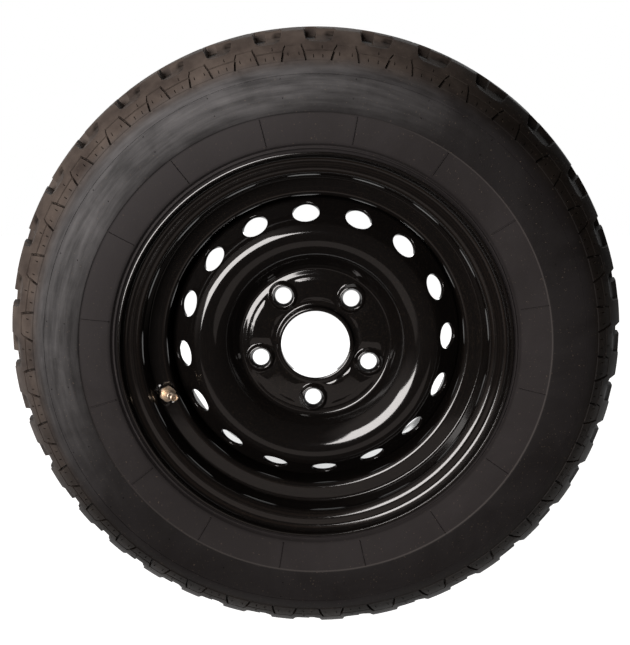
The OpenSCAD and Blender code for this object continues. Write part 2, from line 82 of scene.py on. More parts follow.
# Meshing: the turn of one facet of a bend, and the straight run that gets a point near each end.
BEND_STEP, LONG_RUN, RUN_END = 7, 1.5, 0.5

rim_r, flange_face = RIM_D / 2, RIM_W / 2
flange_r, flange_mid = rim_r + FLANGE_H, flange_face + RIM_T / 2
edge_mid, seat_mid = flange_r - RIM_T / 2, rim_r - RIM_T / 2
tan = lambda degrees: math.tan(math.radians(degrees))
cos = lambda degrees: math.cos(math.radians(degrees))
sin = lambda degrees: math.sin(math.radians(degrees))


# ---------- meshes

def place(r, h, turn):
    """Points at a radius, a height and a turn in radians round the axle, in metres."""
    r, h, turn = np.broadcast_arrays(r, h, turn)
    return np.stack([r * np.cos(turn), -h + 0 * turn, r * np.sin(turn)], -1) * MM


def revolve(section, turns):
    return place(section[:, :1], section[:, 1:], turns)


def add_object(name, data):
    thing = bpy.data.objects.new(name, data)
    bpy.context.scene.collection.objects.link(thing)
    return thing


def make(name, points, faces, material, sharp=35):
    """A smooth-shaded piece of the wheel. Edges that turn by more than an angle stay sharp."""
    mesh = bpy.data.meshes.new(name)
    mesh.from_pydata(points.reshape(-1, 3).tolist(), [], faces)
    mesh.flip_normals()
    mesh.materials.append(material)
    mesh.shade_smooth()
    mesh.set_sharp_from_angle(angle=math.radians(sharp))
    piece = add_object(name, mesh)
    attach(piece, "wheel")
    return piece


def grid_faces(rows, columns, wrap_rows=False):
    """Quads of a grid of points, numbered row by row, whose columns go all the way round."""
    i, j = np.meshgrid(np.arange(rows if wrap_rows else rows - 1), np.arange(columns), indexing="ij")
    ii, jj = (i + 1) % rows, (j + 1) % columns
    quad = [i * columns + j, i * columns + jj, ii * columns + jj, ii * columns + j]
    return np.stack(quad, -1).reshape(-1, 4)


def ray(degrees):
    return np.array([cos(degrees), sin(degrees)])


def unit(v):
    v = np.asarray(v, float)
    return v / np.hypot(v[..., 0], v[..., 1])[..., None]


def left(v):
    return np.stack([-v[..., 1], v[..., 0]], -1)


def smooth(x):
    x = np.clip(x, 0, 1)
    return x * x * (3 - 2 * x)


# A sheet's middle line is a path of corners, with the radius of the bend at each.

def leg(path, i):
    return unit(path[i + 1] - path[i])


def turn_at(path, i):
    a, b = leg(path, i - 1), leg(path, i)
    return math.degrees(math.atan2(a[0] * b[1] - a[1] * b[0], a @ b))


def bend_end(path, bends, i, way):
    """Where the bend at a corner starts (way -1) or ends (way 1)."""
    reach = bends[i] * tan(abs(turn_at(path, i)) / 2) if bends[i] else 0
    return path[i] + (leg(path, i) if way > 0 else -leg(path, i - 1)) * reach


def bend_at(path, bends, i):
    """Centre of a bend, the angle at which its arc starts, and the turn along it."""
    turn = turn_at(path, i)
    inward = left(leg(path, i - 1)) * np.sign(turn)
    centre = bend_end(path, bends, i, -1) + inward * bends[i]
    return centre, math.degrees(math.atan2(-inward[1], -inward[0])), turn


def sheet_side(path, bends, t, side):
    """One face of a bent sheet, with an extra point near both ends of each straight run."""
    last = len(path) - 1
    out = [path[0] + left(leg(path, 0)) * side * t / 2]
    for i in range(1, last):
        centre, start, turn = bend_at(path, bends, i)
        r = bends[i] - np.sign(turn) * side * t / 2
        count = max(3, math.ceil(abs(turn) / BEND_STEP))
        arc = [centre + r * ray(start + turn * k / count) for k in range(count + 1)]
        if np.hypot(*(arc[0] - out[-1])) > LONG_RUN:
            out.append(arc[0] + unit(out[-1] - arc[0]) * RUN_END)
        out += arc
        end = bend_end(path, bends, i + 1, -1) if i + 1 < last else path[last]
        end = end + left(leg(path, i)) * side * t / 2
        if np.hypot(*(end - arc[-1])) > LONG_RUN:
            out.append(arc[-1] + unit(end - arc[-1]) * RUN_END)
    out.append(path[last] + left(leg(path, last - 1)) * side * t / 2)
    return np.array(out)


def round_edge(a, b, inward):
    """Points round a sheet's cut edge, from face point a to face point b. inward points back into the sheet."""
    across = unit(b - a)
    out = []
    for corner, way in ((a, across), (b, -across)):
        centre = corner + way * EDGE_R + inward * EDGE_R
        turns = (0, 30, 60, 90) if corner is a else (90, 60, 30, 0)
        out += [centre - way * EDGE_R * cos(k) - inward * EDGE_R * sin(k) for k in turns]
    return out


def sheet_loop(path, bends, t):
    """Closed outline of a bent sheet, with its edges rounded."""
    one, two = (sheet_side(path, bends, t, side) for side in (1, -1))
    end = round_edge(one[-1], two[-1], -leg(path, len(path) - 2))
    start = round_edge(two[0], one[0], leg(path, 0))
    return np.array(list(one[1:-1]) + end + list(two[1:-1][::-1]) + start)


# ---------- materials

class Graph:
    """Short calls for building the nodes of a material or a world."""

    def __init__(self, owner, space):
        owner.use_nodes = True
        self.tree = owner.node_tree
        self.place = self.add("ShaderNodeTexCoord").outputs[space]

    def add(self, kind, inputs=None, **values):
        """A new node, with its inputs by name or number."""
        node = self.tree.nodes.new(kind)
        for key, value in values.items():
            setattr(node, key, value)
        for key, value in (inputs or {}).items():
            self.put(node.inputs[key], value)
        return node

    def put(self, socket, value):
        """Link or set a socket. A colour is given without its alpha."""
        if isinstance(value, bpy.types.NodeSocket):
            self.tree.links.new(value, socket)
        else:
            socket.default_value = (*value, 1) if socket.type == "RGBA" else value

    def math(self, operation, a, b=0.0):
        return self.add("ShaderNodeMath", {0: a, 1: b}, operation=operation).outputs[0]

    def times(self, a, b):
        return self.math("MULTIPLY", a, b)

    def span(self, value, low, high, to_low=0.0, to_high=1.0, smooth=False):
        """A value mapped from one range to another, and held at its ends."""
        limits = {"Value": value, "From Min": low, "From Max": high, "To Min": to_low, "To Max": to_high}
        kind = "SMOOTHSTEP" if smooth else "LINEAR"
        return self.add("ShaderNodeMapRange", limits, interpolation_type=kind).outputs[0]

    def split(self):
            return self.add("ShaderNodeSeparateXYZ", {0: self.place}).outputs


class Finish(Graph):
    """The nodes of a material on the object, with distances in metres."""

    def __init__(self, name):
        self.material = bpy.data.materials.new(name)
        super().__init__(self.material, "Object")
        self.shader = self.tree.nodes["Principled BSDF"]

    def noise(self, scale, detail=2.0, rough=0.5, at=None, distortion=0.0):
        inputs = {"Scale": scale, "Detail": detail, "Roughness": rough, "Distortion": distortion}
        return self.add("ShaderNodeTexNoise", inputs | {"Vector": at or self.place}).outputs["Fac"]

    def mix(self, factor, a, b):
        return self.add("ShaderNodeMix", {0: factor, 6: a, 7: b}, data_type="RGBA").outputs[2]

    def bump(self, height, distance, strength, under=None):
        inputs = {"Height": height, "Distance": distance, "Strength": strength}
        return self.add("ShaderNodeBump", inputs | ({"Normal": under} if under else {})).outputs[0]

    def set(self, **values):
        for key, value in values.items():
            self.put(self.shader.inputs[key.replace("_", " ")], value)
        return self.material

    def pair(self, a, b):
        """A place laid out by two values."""
        return self.add("ShaderNodeCombineXYZ", {0: a, 1: b}).outputs[0]

    def from_axle(self, x, z):
        return self.math("SQRT", self.math("ADD", self.times(x, x), self.times(z, z)))


def gloss_black():
    """Black enamel with fine specks, and with brownish lines round the rim strip, outside the disc, that are painted
    reflections.
    """
    strip_from, strip_full = 0.138, 0.142
    n = Finish("gloss_black_paint")
    x, y, z = n.split()
    r = n.from_axle(x, z)
    specks = n.span(n.noise(1300, 2.0, 0.6), 0.60, 0.72)
    film = n.span(n.noise(9, 4.0, 0.6), 0.35, 0.7, 0.2, 0.9)
    body = n.mix(n.noise(620, 3.0, 0.7), (0.0014, 0.0012, 0.0012), (0.0056, 0.0048, 0.0045))
    lines = n.noise(1.0, 3.0, 0.6, at=n.pair(n.times(r, 700.0), n.times(y, 500.0)))
    # Painted reflections: brownish lines that run round the rim strip, which is also made a little rougher there.
    painted_reflection_lines = n.times(n.span(lines, 0.52, 0.72, 0.0, 0.7), n.span(r, strip_from, strip_full))
    body = n.mix(painted_reflection_lines, body, (0.0115, 0.0082, 0.0064))
    n.set(Base_Color=n.mix(n.times(specks, film), body, (0.034, 0.024, 0.016)))
    rough = n.span(n.noise(30, 5.0, 0.6), 0.3, 0.8, 0.06, 0.13)
    n.set(Roughness=n.math("ADD", rough, n.times(painted_reflection_lines, 0.12)))
    n.set(Normal=n.bump(n.noise(160, 2.0), 0.00006, 0.25))
    return n.set(IOR=1.5)


def rubber():
    """Black rubber: a darker side and tread above a step. Towards the upper left there is a painted sheen on the side
    and painted light, in a brownish dust tone, on the tread. A painted highlight runs along the step, and there is
    painted shade in the tread's hollows.
    """
    step_in, step_at, step_out = 0.2141, 0.2145, 0.2149
    pale_from, gap_from, edge, edge_in, edge_out = 0.2290, 0.250, 0.256, 0.247, 0.262
    n = Finish("tyre_rubber")
    x, _, z = n.split()
    r = n.from_axle(x, z)
    smudge = n.noise(11, 6.0, 0.62, distortion=0.8)
    round_way = n.pair(n.times(r, 150.0), n.times(n.math("ARCTAN2", z, x), 3.2))
    streak = n.times(n.noise(1.0, 5.0, 0.62, at=round_way), 0.65)
    streak = n.math("ADD", streak, n.times(n.noise(24, 4.0, 0.55, distortion=0.6), 0.35))
    uneven = n.times(n.math("SUBTRACT", smudge, 0.5), 0.16)
    # Painted light: a mask that grows towards the upper left, where the key lamp stands, with a little noise in its
    # edge.
    painted_light_mask = n.span(n.math("ADD", n.math("SUBTRACT", z, x), uneven), 0.03, 0.34, smooth=True)

    low = n.mix(n.span(smudge, 0.4, 0.7), (0.0175, 0.0153, 0.0153), (0.0225, 0.0199, 0.0201))
    # The lower band painted lighter towards the upper left: painted light.
    low = n.mix(painted_light_mask, low, (0.036, 0.0328, 0.0332))
    side = n.mix(n.span(smudge, 0.38, 0.68), (0.008, 0.007, 0.007), (0.0125, 0.0112, 0.0113))
    # Painted sheen: pale streaked grey on the side, laid on towards the upper left and growing up the side from the
    # step.
    painted_sheen = n.mix(n.span(streak, 0.38, 0.66), (0.034, 0.033, 0.0335), (0.102, 0.099, 0.1005))
    side = n.mix(n.times(painted_light_mask, n.span(r, step_in, pale_from, 0.50, 1.0)), side, painted_sheen)
    tread = n.mix(n.span(n.noise(26, 5.0, 0.65), 0.35, 0.7), (0.004, 0.0032, 0.0027), (0.0092, 0.0072, 0.0059))
    # The tread painted lighter towards the upper left: painted light, in a brownish dust tone.
    dust_and_painted_light = n.mix(n.span(n.noise(40, 5.0, 0.6), 0.3, 0.75), (0.040, 0.0315, 0.0275), (0.098, 0.079, 0.067))
    tread = n.mix(painted_light_mask, tread, dust_and_painted_light)

    body = n.mix(n.span(r, step_in, step_out), low, side)
    # Painted highlight: a pale line along the step, strongest away from the upper left, where its face turns to the
    # light.
    painted_step_highlight = n.span(n.math("ABSOLUTE", n.math("SUBTRACT", r, step_at)), 0.0002, 0.0007, 0.6, 0.0)
    body = n.mix(n.times(painted_step_highlight, n.span(painted_light_mask, 0.0, 0.6, 1.0, 0.0)), body, (0.062, 0.056, 0.053))
    body = n.mix(n.span(r, edge_in, edge_out, smooth=True), body, tread)
    # Painted shade: near black in the tread's hollows at the shoulder, found by the mesh's pointiness.
    hollow = n.span(n.add("ShaderNodeNewGeometry").outputs["Pointiness"], 0.455, 0.495, 0.8, 0.0)
    body = n.mix(n.times(hollow, n.span(r, gap_from, edge)), body, (0.0012, 0.001, 0.0009))
    specks = n.times(n.span(n.noise(700, 1.0), 0.72, 0.77), 0.4)
    n.set(Base_Color=n.mix(specks, body, (0.13, 0.10, 0.075)))
    n.set(Roughness=n.span(r, step_in, step_out, 0.72, n.span(smudge, 0.35, 0.7, 0.46, 0.58)))
    n.set(Normal=n.bump(n.noise(900, 3.0), 0.0003, 0.3, n.bump(n.noise(60, 4.0), 0.0012, 0.25)))
    return n.set(Specular_IOR_Level=0.07, IOR=1.45)


def brass():
    n = Finish("valve_brass")
    stain = n.noise(260, 4.0, 0.6)
    n.set(Base_Color=n.mix(n.span(stain, 0.35, 0.7), (0.74, 0.60, 0.46), (0.93, 0.79, 0.63)))
    n.set(Normal=n.bump(n.noise(1500, 2.0), 0.00005, 0.4))
    return n.set(Roughness=n.span(stain, 0.3, 0.75, 0.34, 0.48), Metallic=1.0)


def seal_rubber():
    n = Finish("seal_rubber")
    n.set(Base_Color=n.mix(n.noise(300, 3.0), (0.016, 0.016, 0.016), (0.03, 0.03, 0.03)))
    return n.set(Normal=n.bump(n.noise(1200, 2.0), 0.0001, 0.3), Roughness=0.6)


def bright_steel():
    n = Finish("washer_steel")
    n.set(Base_Color=n.mix(n.noise(400, 3.0), (0.45, 0.43, 0.40), (0.62, 0.60, 0.57)))
    return n.set(Roughness=n.span(n.noise(700, 2.0), 0.3, 0.7, 0.25, 0.42), Metallic=1.0)


paint = gloss_black()
tyre_rubber = rubber()
valve_brass = brass()
seal = seal_rubber()
steel = bright_steel()


# ---------- rim

def rim_section():
    seat_end = flange_face - HUMP_IN + HUMP_W
    seat_end_r = seat_mid - tan(SEAT_TAPER) * (flange_mid - seat_end)
    hump_at = flange_face - HUMP_IN
    hump_r = seat_end_r + HUMP_H
    well_mid = rim_r - WELL_DEPTH - RIM_T / 2
    well_top = hump_at - (hump_r - well_mid) / tan(WALL_SLOPE)
    well_end = well_top - WELL_W
    ramp_end = well_end - (hump_r - well_mid) / tan(RAMP_SLOPE)
    path = [(edge_mid, flange_face + LIP_W), (edge_mid, flange_mid), (seat_mid, flange_mid),
            (seat_end_r, seat_end), (hump_r, hump_at), (well_mid, well_top),
            (well_mid, well_end), (hump_r, ramp_end), (seat_end_r, -seat_end),
            (seat_mid, -flange_mid), (edge_mid, -flange_mid), (edge_mid, -flange_face - LIP_W)]
    edge, heel, foot = CURL_R - RIM_T / 2, HEEL_R + RIM_T / 2, HUMP_FOOT_BEND
    return np.array(path), [0, edge, heel, foot, HUMP_BEND, WALL_BEND, *RAMP_BENDS, foot, heel, edge, 0]


rim_path, rim_bends = rim_section()
valve_at = (bend_end(rim_path, rim_bends, 4, 1) + bend_end(rim_path, rim_bends, 5, -1)) / 2
valve_origin = place(*valve_at, math.radians(VALVE_TURN))
valve_axis = np.array([-sin(VALVE_TILT) * cos(VALVE_TURN), -cos(VALVE_TILT), -sin(VALVE_TILT) * sin(VALVE_TURN)])

# The flat pressed round the valve: its radius, the ring over which it fades, and how far it reaches on the
# wall's inner and outer face (radii), and in height.
FLAT_R, FLAT_FADE = NUT_AF / 2 / cos(30) + 0.6, 2.2
FLAT_FOOT, FLAT_START, FLAT_STOP, FLAT_TOP = (143.4, 145.8), (148, 148.4), (159.4, 159.4), (161.2, 163.6)
FLAT_HEIGHTS = 38, 52

# The wall's finer mesh: its box in the section, its rows' spacing and its columns at the valve.
WALL_LOW, WALL_HIGH, WALL_STEP = (147.6, 43), (159.8, 50), 1.2
NEAR_TURN, NEAR_STEP, FAR_COLUMNS = 7, 0.5, 290
DRILL_REACH, DRILL_SIDES = 6, 48


def finer(loop, low, high, gap):
    """More points on the straight stretches of a section between two corners of a box."""
    out = []
    for a, b in zip(loop, np.roll(loop, -1, 0)):
        mid = (a + b) / 2
        within = np.all(mid > low) and np.all(mid < high)
        count = max(1, math.ceil(np.hypot(*(b - a)) / gap)) if within else 1
        out += [a + (b - a) * k / count for k in range(count)]
    return np.array(out)


def press_flat(points, loop):
    """Press a round flat into the well's outer wall, square to the valve."""
    inner = np.arange(len(loop)) > len(loop) / 2
    r, h = loop.T
    foot, start, stop, top = (np.where(inner, *radii) for radii in (FLAT_FOOT, FLAT_START, FLAT_STOP, FLAT_TOP))
    on_wall = smooth((r - foot) / (start - foot)) * smooth((top - r) / (top - stop))
    on_wall *= (h > FLAT_HEIGHTS[0]) & (h < FLAT_HEIGHTS[1])
    d = points - valve_origin
    c = d @ valve_axis
    rho = np.linalg.norm(d - c[..., None] * valve_axis, axis=-1) / MM
    weight = smooth((FLAT_R + FLAT_FADE - rho) / FLAT_FADE) * on_wall[:, None]
    aim = np.where(inner, RIM_T / 2, -RIM_T / 2)[:, None] * MM
    return points + ((aim - c) * weight)[..., None] * valve_axis


def rim_turns():
    """Columns round the rim, close together at the valve."""
    near = VALVE_TURN + np.arange(-NEAR_TURN, NEAR_TURN + 0.01, NEAR_STEP)
    far = near[-1] + (360 - 2 * NEAR_TURN) * np.arange(1, FAR_COLUMNS) / FAR_COLUMNS
    return np.radians(np.concatenate([near, far]))


def drill(piece, origin, axis, radius, reach):
    """Cut a round hole through a piece."""
    origin, axis = Vector(origin), Vector(axis)
    side = axis.orthogonal().normalized()
    up = axis.cross(side)
    bm = bmesh.new()
    low, high = [[bm.verts.new(origin + axis * way + (side * math.cos(k) + up * math.sin(k)) * radius)
                  for k in np.arange(DRILL_SIDES) * 2 * np.pi / DRILL_SIDES] for way in (-reach, reach)]
    for j in range(DRILL_SIDES):
        k = (j + 1) % DRILL_SIDES
        bm.faces.new((low[j], low[k], high[k], high[j]))
    bm.faces.new(low[::-1])
    bm.faces.new(high)
    bmesh.ops.recalc_face_normals(bm, faces=bm.faces[:])
    mesh = bpy.data.meshes.new("drill")
    bm.to_mesh(mesh)
    bm.free()
    tool = add_object("drill", mesh)
    cut = piece.modifiers.new("hole", "BOOLEAN")
    cut.operation, cut.solver, cut.object = "DIFFERENCE", "EXACT", tool
    bpy.context.view_layer.update()
    drilled = bpy.data.meshes.new_from_object(piece.evaluated_get(bpy.context.evaluated_depsgraph_get()))
    piece.modifiers.clear()
    piece.data = drilled
    bpy.data.objects.remove(tool)


def make_rim():
    loop = finer(sheet_loop(rim_path, rim_bends, RIM_T), WALL_LOW, WALL_HIGH, WALL_STEP)
    turns = rim_turns()
    points = press_flat(revolve(loop, turns), loop)
    faces = grid_faces(len(loop), len(turns), wrap_rows=True)
    rim = make("rim_strip", points, faces.tolist(), paint)
    drill(rim, valve_origin, valve_axis, VALVE_HOLE_D / 2 * MM, DRILL_REACH * MM)
    return rim


rim = make_rim()
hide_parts("rim")


# ---------- disc

# Columns round the disc, the two rings that are meshed round their holes (the pad's radii, and distances from
# the vents' middle), a sector's rows, and how evenly a hole's points are spread.
DISC_COLUMNS, PAD_RING, VENT_RING, SECTOR_ROWS, EVENNESS = 240, (40.4, 71.3), (-14.6, 14.4), 16, 0.65

disc_turns = np.arange(DISC_COLUMNS) * 2 * np.pi / DISC_COLUMNS
pad_phase, vent_phase = (v % (360 / DISC_COLUMNS) for v in (BOLT_TURN + 180 / BOLT_COUNT, VENT_TURN + 180 / VENT_COUNT))
hole_r, vent_hole_r = BOLT_HOLE_D / 2, VENT_D / 2
cone_r = hole_r + CONE_W


def disc_section():
    bore_mid, hub_mid = BORE_D / 2 + DISC_T / 2, HUB_OFFSET + DISC_T / 2
    foot_r = rim_r - WELL_DEPTH - RIM_T - SEAT_GAP - DISC_T / 2
    crest_mid = hub_mid + CREST_H
    crest_out = CREST_R + CREST_OUT_BEND * tan(FLANK_SLOPE / 2)
    crest_in = CREST_R - CREST_IN_BEND * tan(DISH_SLOPE / 2)
    groove_mid = hub_mid - GROOVE_DROP
    foot_h = crest_mid - (foot_r - crest_out) * tan(FLANK_SLOPE)
    path = [(bore_mid, HUB_OFFSET + COLLAR_H), (bore_mid, hub_mid), (PAD_D / 2, hub_mid),
            (crest_in - (crest_mid - groove_mid) / tan(DISH_SLOPE), groove_mid),
            (crest_in, crest_mid), (crest_out, crest_mid), (foot_r, foot_h), (foot_r, foot_h - SKIRT_W)]
    return np.array(path), [0, COLLAR_BEND, PAD_BEND, GROOVE_BEND, CREST_IN_BEND, CREST_OUT_BEND, SKIRT_BEND, 0]


class Section:
    """A bent sheet's middle line, measured along it, with the direction square to it."""

    def __init__(self, path, bends, steps=48):
        points, normals = [path[0]], [left(leg(path, 0))]
        for i in range(1, len(path) - 1):
            centre, start, turn = bend_at(path, bends, i)
            for k in range(steps + 1):
                out = ray(start + turn * k / steps)
                points.append(centre + bends[i] * out)
                normals.append(-out * np.sign(turn))
        points.append(path[-1])
        normals.append(left(leg(path, len(path) - 2)))
        self.points = np.array(points)
        self.angles = np.unwrap(np.arctan2(*np.array(normals).T[::-1]))
        self.s = np.concatenate([[0], np.cumsum(np.hypot(*np.diff(self.points, axis=0).T))])
        self.length = self.s[-1]

    def at(self, s):
        return tuple(np.interp(s, self.s, v) for v in (self.points[:, 0], self.points[:, 1], self.angles))

    def reach(self, radius):
        """Distance along the line where it first comes to a radius."""
        s = np.linspace(0.0, self.length, 40001)
        return s[np.argmax(self.at(s)[0] >= radius)]

    def rows(self, start, end, turn=BEND_STEP, step=9):
        """Stations from start to end: close together in the bends, with two near each bend's ends."""
        out, k, tiny, apart = [start], 0, 1e-6, 0.2
        for i in range(1, len(self.s)):
            a, b = self.s[i - 1], self.s[i]
            bend = math.degrees(abs(self.angles[i] - self.angles[i - 1]))
            if bend < tiny and b - a > LONG_RUN:
                run = b - a - 2 * RUN_END
                count = max(1, round(run / step))
                out += [a + RUN_END + run * j / count for j in range(count + 1)]
            k += bend
            if k >= turn - tiny:
                out.append(b)
                k = 0
        out = [v for v in out if start + apart < v < end - apart]
        return np.array([start] + out + [end])


def wrap(turn, period):
    """A turn brought within half a period of zero."""
    return (turn + period / 2) % period - period / 2


disc_line = Section(*disc_section())


def press(s, turn, front):
    """Height pressed into the pad: a boss round each bolt hole and a raised field between each two."""
    r = disc_line.at(s)[0]
    pitch = 2 * np.pi / BOLT_COUNT
    from_bolt = wrap(turn - math.radians(BOLT_TURN), pitch)
    away = np.hypot(r * np.cos(from_bolt) - BOLT_PCD / 2, r * np.sin(from_bolt))
    boss = SEAT_H * smooth((BOSS_R - away) / BOSS_FALL) if front else 0.0
    from_field = wrap(turn - math.radians(BOLT_TURN) - pitch / 2, pitch)
    end = np.minimum(np.abs(from_field), pitch / 2)
    along = (math.radians(FIELD_SPAN / 2) - end) * r * FIELD_TAPER
    edge = np.minimum(np.minimum(r - FIELD_IN, FIELD_OUT - r), along)
    field = FIELD_H * smooth(edge / FIELD_EDGE + 0.5)
    return np.where(s < pad_end + 1, np.maximum(boss, field), 0.0)


def disc_point(s, turn, front):
    """Points on the disc's front or back."""
    s, turn = np.broadcast_arrays(s, turn)
    r, h, angle = disc_line.at(s)
    lift = (DISC_T / 2 if front else -DISC_T / 2) + press(s, turn, front)
    return place(r + lift * np.cos(angle), h + lift * np.sin(angle), turn)


pad_start, pad_end = (disc_line.reach(r) for r in PAD_RING)
vent_s = disc_line.reach(VENT_R)
flank_start, flank_end = (vent_s + way for way in VENT_RING)


class Shell:
    """Vertices and faces of a piece, collected row by row."""

    def __init__(self):
        self.points, self.faces, self.count = [], [], 0

    def add(self, points):
        points = points.reshape(-1, 3)
        self.points.append(points)
        self.count += len(points)
        return np.arange(self.count - len(points), self.count)

    def join(self, a, b, flip=False):
        """Quads between two closed rows of the same length."""
        n = len(a)
        for j in range(n):
            quad = [a[j], a[(j + 1) % n], b[(j + 1) % n], b[j]]
            self.faces.append(quad[::-1] if flip else quad)

    def join_all(self, rows, flip=False):
        for a, b in zip(rows, rows[1:]):
            self.join(a, b, flip)

    def bridge(self, first, rows, last, flip=False):
        """New rows of points between two rows that are there."""
        self.join_all([first] + [self.add(row) for row in rows] + [last], flip)


def lathe_zone(shell, rows, first, last, front):
    """Rows all round the disc between two phases of the columns. Returns its first and last row."""
    ids = []
    for k, s in enumerate(rows):
        phase = math.radians(first + (last - first) * k / max(1, len(rows) - 1))
        ids.append(shell.add(disc_point(s, disc_turns + phase, front)))
    shell.join_all(ids, not front)
    return ids[0], ids[-1]


def round_hole(centre, mid, rho, angle):
    """Places (along the section, turn) on a ring round a hole's middle."""
    s = centre + rho * np.cos(angle)
    return s, mid + np.arcsin(rho * np.sin(angle) / disc_line.at(s)[0])


def holed_zone(shell, ends, edges, phase, holes, rings, border_rows, front):
    """A ring of sectors between two rows of the shell, each sector with a hole. Returns the holes' edges."""
    (low, high), (lows, highs), (centre, count, turn) = ends, edges, holes
    per = DISC_COLUMNS // count
    step = 2 * np.pi / DISC_COLUMNS
    found, seams = [], {}
    for sector in range(count):
        mid = math.radians(turn) + sector * 2 * np.pi / count
        begin = mid - np.pi / count
        start = round((begin - math.radians(phase)) / step)
        columns = (start + np.arange(per + 1)) % DISC_COLUMNS
        line = begin + np.arange(per + 1) * step
        for key, at in ((sector, begin), ((sector + 1) % count, begin + per * step)):
            if key not in seams:
                up = low + (high - low) * np.arange(1, SECTOR_ROWS) / SECTOR_ROWS
                seams[key] = shell.add(disc_point(up, at, front))
        part = np.arange(SECTOR_ROWS) / SECTOR_ROWS
        s_border = np.concatenate([np.full(per, low), low + (high - low) * part,
                                   np.full(per, high), high - (high - low) * part])
        t_border = np.concatenate([line[:-1], np.full(SECTOR_ROWS, line[-1]),
                                   line[:0:-1], np.full(SECTOR_ROWS, line[0])])
        here, after = seams[sector], seams[(sector + 1) % count]
        border = np.concatenate([lows[columns], after, highs[columns[::-1]], here[::-1]])
        angle = np.unwrap(np.arctan2((t_border - mid) * disc_line.at(s_border)[0], s_border - centre))
        way = np.sign(angle[1] - angle[0])
        even = angle[0] + np.arange(len(angle)) / len(angle) * way * 2 * np.pi
        angle = (1 - EVENNESS) * angle + EVENNESS * even
        ids = [shell.add(disc_point(*round_hole(centre, mid, rho, angle), front)) for rho in rings]
        s_out, t_out = round_hole(centre, mid, rings[-1], angle)
        for f in np.arange(1, border_rows) / border_rows:
            ids.append(shell.add(disc_point(s_out + (s_border - s_out) * f, t_out + (t_border - t_out) * f, front)))
        ids.append(border)
        shell.join_all(ids, front)
        found.append((ids[0], mid, angle))
    return found


def flat_ring(rho, mid, angle, height):
    """A ring round a bolt hole at a height over the middle of the wheel."""
    r = BOLT_PCD / 2 + rho * np.cos(angle)
    across = rho * np.sin(angle)
    return place(np.hypot(r, across), height, mid + np.arctan2(across, r))


def vent_ring(rho, mid, angle, front, sunk):
    """A ring round a vent, sunk into the sheet along the vent's axis."""
    tilt = disc_line.at(vent_s)[2]
    depth = place(np.cos(tilt), np.sin(tilt), mid) * (sunk if front else -sunk)
    return disc_point(*round_hole(vent_s, mid, rho, angle), front) - depth


def disc_side(shell, front):
    """One side of the disc. Returns its first and last row and the edges of its holes."""
    rings, border_rows = [hole_r + EDGE_R, 9.5, 11.5, BOSS_R], 12
    if front:
        rings, border_rows = [cone_r, cone_r + EDGE_R, 11.8, 12.6, 13.4, 14.2, BOSS_R], 18
    first, low = lathe_zone(shell, disc_line.rows(0, pad_start), pad_phase, pad_phase, front)
    high, near = lathe_zone(shell, disc_line.rows(pad_end, flank_start, turn=5), pad_phase, vent_phase, front)
    far, last = lathe_zone(shell, disc_line.rows(flank_end, disc_line.length), vent_phase, vent_phase, front)
    bolts = holed_zone(shell, (pad_start, pad_end), (low, high), pad_phase,
                       (disc_line.reach(BOLT_PCD / 2), BOLT_COUNT, BOLT_TURN), rings, border_rows, front)
    vents = holed_zone(shell, (flank_start, flank_end), (near, far), vent_phase,
                       (vent_s, VENT_COUNT, VENT_TURN), [vent_hole_r + EDGE_R, vent_hole_r + EDGE_R + 0.4], 5, front)
    return (first, last), bolts, vents


def make_disc():
    shell = Shell()
    front_ends, front_bolts, front_vents = disc_side(shell, True)
    back_ends, back_bolts, back_vents = disc_side(shell, False)
    cone_h, turned, top = CONE_W / tan(CONE_ANGLE), 0.17, HUB_OFFSET + DISC_T + SEAT_H

    cone = [(cone_r - 0.25, top - 0.2)] + [(cone_r - CONE_W * f, top - cone_h * f) for f in (0.25, 0.6, 1)]
    cone += [(hole_r, HUB_OFFSET + EDGE_R), (hole_r + turned, HUB_OFFSET + turned)]
    for (a, mid, angle), (b, _, _) in zip(front_bolts, back_bolts):
        shell.bridge(a, [flat_ring(rho, mid, angle, height) for rho, height in cone], b)

    round_off = [(vent_hole_r + EDGE_R * (1 - sin(k)), EDGE_R * (1 - cos(k))) for k in (22.5, 45, 67.5, 90)]
    vent_wall = [(rho, True, sunk) for rho, sunk in round_off] + [(rho, False, sunk) for rho, sunk in round_off[::-1]]
    for (a, mid, angle), (b, _, _) in zip(front_vents, back_vents):
        shell.bridge(a, [vent_ring(rho, mid, angle, front, sunk) for rho, front, sunk in vent_wall], b)

    for which, s, way, phase in ((0, 0, -1, pad_phase), (1, disc_line.length, 1, vent_phase)):
        r, h, angle = disc_line.at(s)
        across, beyond = np.array([np.cos(angle), np.sin(angle)]), way * np.array([np.sin(angle), -np.cos(angle)])
        edge = [np.array([r, h]) + across * DISC_T / 2 * cos(k) + beyond * 0.8 * sin(k) for k in (45, 90, 135)]
        rows = [place(*at, disc_turns + math.radians(phase)) for at in edge]
        shell.bridge(front_ends[which], rows, back_ends[which], which == 0)
    return make("disc_pressing", np.concatenate(shell.points), shell.faces, paint, sharp=40)


disc = make_disc()
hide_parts("disc")


# ---------- tyre

